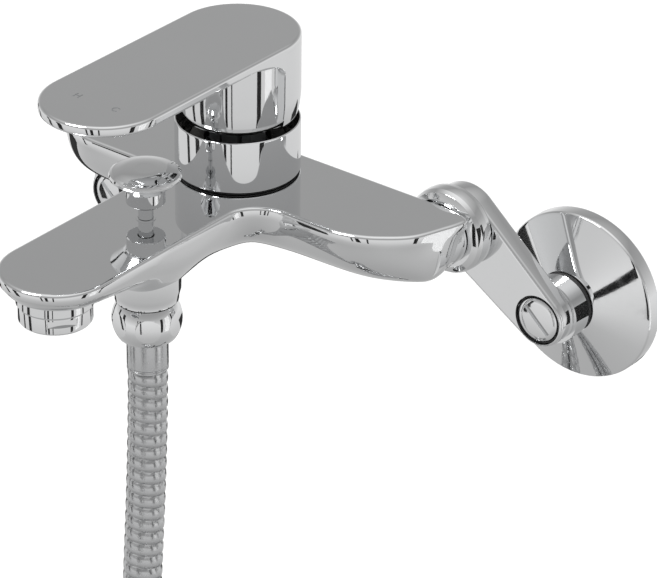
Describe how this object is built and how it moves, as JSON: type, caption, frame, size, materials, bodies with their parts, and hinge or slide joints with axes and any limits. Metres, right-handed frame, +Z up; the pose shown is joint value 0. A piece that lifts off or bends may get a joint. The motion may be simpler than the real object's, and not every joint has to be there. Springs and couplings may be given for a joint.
{
  "type": "wall mounted bath faucet",
  "caption": "Wall mounted bath faucet: flat-topped spout on twin arms, lever handle, push-down diverter, round wall flanges on swing bars, and a metal shower hose.",
  "frame": {"origin": "on the finished wall plane, midway between the two inlets and level with them", "axes": "+Y into the wall, +Z up, +X to the right seen from the room; the spout points along -Y"},
  "size_m": [0.2668, 0.2092, 0.4345],
  "materials": {
    "chrome": "polished chrome plate",
    "plated_steel": "bright plated steel",
    "steel": "plain stainless steel",
    "brass": "machined brass",
    "rubber": "black rubber",
    "plastic": "matte grey plastic",
    "ceramic": "lapped white ceramic"
  },
  "bodies": {
    "body": {"body_casting": "chrome", "cover_ring": "chrome", "aerator_housing": "chrome", "hose_nut": "chrome", "far_nut": "chrome", "eccentric_bar_right": "chrome", "escutcheon_right": "chrome", "union_nut_right": "chrome", "eccentric_bar_left": "chrome", "escutcheon_left": "chrome", "union_nut_left": "chrome", "hose_ferrule": "plated_steel", "far_ferrule": "plated_steel", "shower_hose": "plated_steel", "hose_coil": "plated_steel", "cartridge_nut": "brass", "diverter_bush": "brass", "diverter_seat": "brass", "outlet_nipple": "brass", "inlet_tail_right": "brass", "wall_nipple_right": "brass", "inlet_tail_left": "brass", "wall_nipple_left": "brass", "cover_ring_seal": "rubber", "cartridge_base_seal": "rubber", "diverter_rod_ring": "rubber", "aerator_gasket": "rubber", "hose_washer": "rubber", "far_washer": "rubber", "hose_tie": "rubber", "union_washer_right": "rubber", "seal_ring_right": "rubber", "union_washer_left": "rubber", "seal_ring_left": "rubber", "cartridge_housing": "plastic", "aerator_insert": "plastic", "ceramic_disc_fixed": "ceramic"},
    "rotor": {"cartridge_rotor": "plastic", "cartridge_pin": "steel"},
    "disc": {"disc_carrier": "plastic", "ceramic_disc_moving": "ceramic"},
    "lever": {"handle": "chrome", "lever_stem": "brass", "handle_screw": "steel", "handle_screw_plug": "plastic"},
    "diverter": {"diverter_knob": "chrome", "diverter_rod": "steel", "diverter_plunger": "brass", "diverter_upper_seal": "rubber", "diverter_lower_seal": "rubber", "diverter_plunger_nut": "brass"},
    "stop_right": {"stop_screw_right": "chrome", "stop_screw_ring_right": "rubber"},
    "stop_left": {"stop_screw_left": "chrome", "stop_screw_ring_left": "rubber"}
  },
  "joints": [
    {"name": "handle_turn", "type": "hinge", "parent": "body", "child": "rotor", "pos_m": [0, -0.064, 0.042], "axis": [0, 0, 1], "range_deg": [-45, 45]},
    {"name": "handle_lift", "type": "hinge", "parent": "rotor", "child": "lever", "pos_m": [0, -0.064, 0.042], "axis": [-1, 0, 0], "range_deg": [0, 22]},
    {"name": "disc_slide", "type": "slide", "parent": "rotor", "child": "disc", "axis": [0, -1, 0], "range_m": [0, 0.005]},
    {"name": "diverter_push", "type": "slide", "parent": "body", "child": "diverter", "axis": [0, 0, -1], "range_m": [0, 0.0058]},
    {"name": "stop_screw_turn_right", "type": "hinge", "parent": "body", "child": "stop_right", "pos_m": [0.11149, -0.0304, -0.02701], "axis": [0, -1, 0], "range_deg": [0, 90]},
    {"name": "stop_screw_turn_left", "type": "hinge", "parent": "body", "child": "stop_left", "pos_m": [-0.09053, -0.0304, -0.04266], "axis": [0, -1, 0], "range_deg": [0, 90]}
  ],
  "couplings": [
    {"joint": "disc_slide", "follows": "handle_lift", "m_per_rad": 0.0128}
  ]
}
